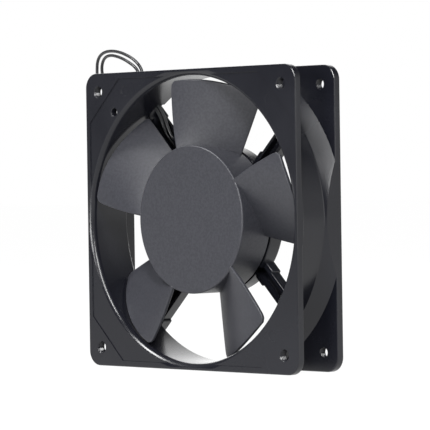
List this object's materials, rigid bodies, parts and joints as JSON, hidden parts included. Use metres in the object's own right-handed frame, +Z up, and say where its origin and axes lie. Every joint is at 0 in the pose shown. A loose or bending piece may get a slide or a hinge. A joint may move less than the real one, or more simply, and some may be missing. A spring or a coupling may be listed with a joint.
{
  "type": "case fan",
  "caption": "Compact axial fan with a square cast frame, channel struts, a flat hub on an outer-rotor motor, swept blades and free leads.",
  "frame": {"origin": "middle of the foot of the fan as it stands on its flanges, under the fan axis and halfway through its depth", "axes": "+Z up, -Y out of the inlet face towards the viewer, +X to the right seen from the inlet; the fan axis is parallel to Y, 60 mm up"},
  "size_m": [0.143, 0.0457, 0.1306],
  "materials": {
    "painted_casting": "semi-gloss black paint on a die casting",
    "hub_plastic": "fine matte moulded charcoal plastic",
    "bright_steel": "ground bearing and shaft steel",
    "lamination_steel": "stacked sheet steel",
    "cast_aluminium": "as cast",
    "brass": "turned",
    "enamelled_copper": "enamelled or bare copper",
    "natural_nylon": "natural nylon",
    "black_nylon": "black nylon",
    "black_insulation": "smooth black wire insulation",
    "tinned_copper": "tinned strands",
    "glass_sleeve": "woven glass sleeve",
    "label_film": "blank grey film label"
  },
  "bodies": {
    "housing": {"frame": "painted_casting", "bearing_tube": "brass", "front_bearing_outer_ring": "bright_steel", "rear_bearing_outer_ring": "bright_steel", "bearing_spacer": "bright_steel", "stator_core": "lamination_steel", "front_insulator": "natural_nylon", "rear_insulator": "natural_nylon", "coil_1": "enamelled_copper", "shading_ring_1": "enamelled_copper", "coil_2": "enamelled_copper", "shading_ring_2": "enamelled_copper", "coil_3": "enamelled_copper", "shading_ring_3": "enamelled_copper", "coil_4": "enamelled_copper", "shading_ring_4": "enamelled_copper", "splice_sleeve_a": "glass_sleeve", "splice_sleeve_b": "glass_sleeve", "inner_lead_a": "black_insulation", "inner_lead_b": "black_insulation", "wire_clip": "black_nylon", "rear_label": "label_film", "lead_a": "black_insulation", "lead_b": "black_insulation", "lead_a_coil": "black_insulation", "lead_b_coil": "black_insulation", "lead_a_tip": "tinned_copper", "lead_b_tip": "tinned_copper", "lead_tie": "black_nylon"},
    "rotor": {"impeller": "hub_plastic", "rotor_core": "lamination_steel", "rotor_cage": "cast_aluminium", "shaft": "bright_steel", "shaft_boss": "brass", "preload_spring": "bright_steel", "front_bearing_inner_ring": "bright_steel", "rear_bearing_inner_ring": "bright_steel", "thrust_washer": "natural_nylon", "retaining_ring": "bright_steel"},
    "front_balls": {"front_bearing_balls": "bright_steel"},
    "rear_balls": {"rear_bearing_balls": "bright_steel"}
  },
  "joints": [
    {"name": "rotor_spin", "type": "hinge", "parent": "housing", "child": "rotor", "pos_m": [0, 0, 0.06], "axis": [0, -1, 0], "continuous": true},
    {"name": "front_cage_spin", "type": "hinge", "parent": "housing", "child": "front_balls", "pos_m": [0, -0.0036, 0.06], "axis": [0, -1, 0], "continuous": true},
    {"name": "rear_cage_spin", "type": "hinge", "parent": "housing", "child": "rear_balls", "pos_m": [0, 0.005, 0.06], "axis": [0, -1, 0], "continuous": true}
  ],
  "couplings": [
    {"joint": "front_cage_spin", "follows": "rotor_spin", "ratio": 0.3556},
    {"joint": "rear_cage_spin", "follows": "rotor_spin", "ratio": 0.3556}
  ]
}
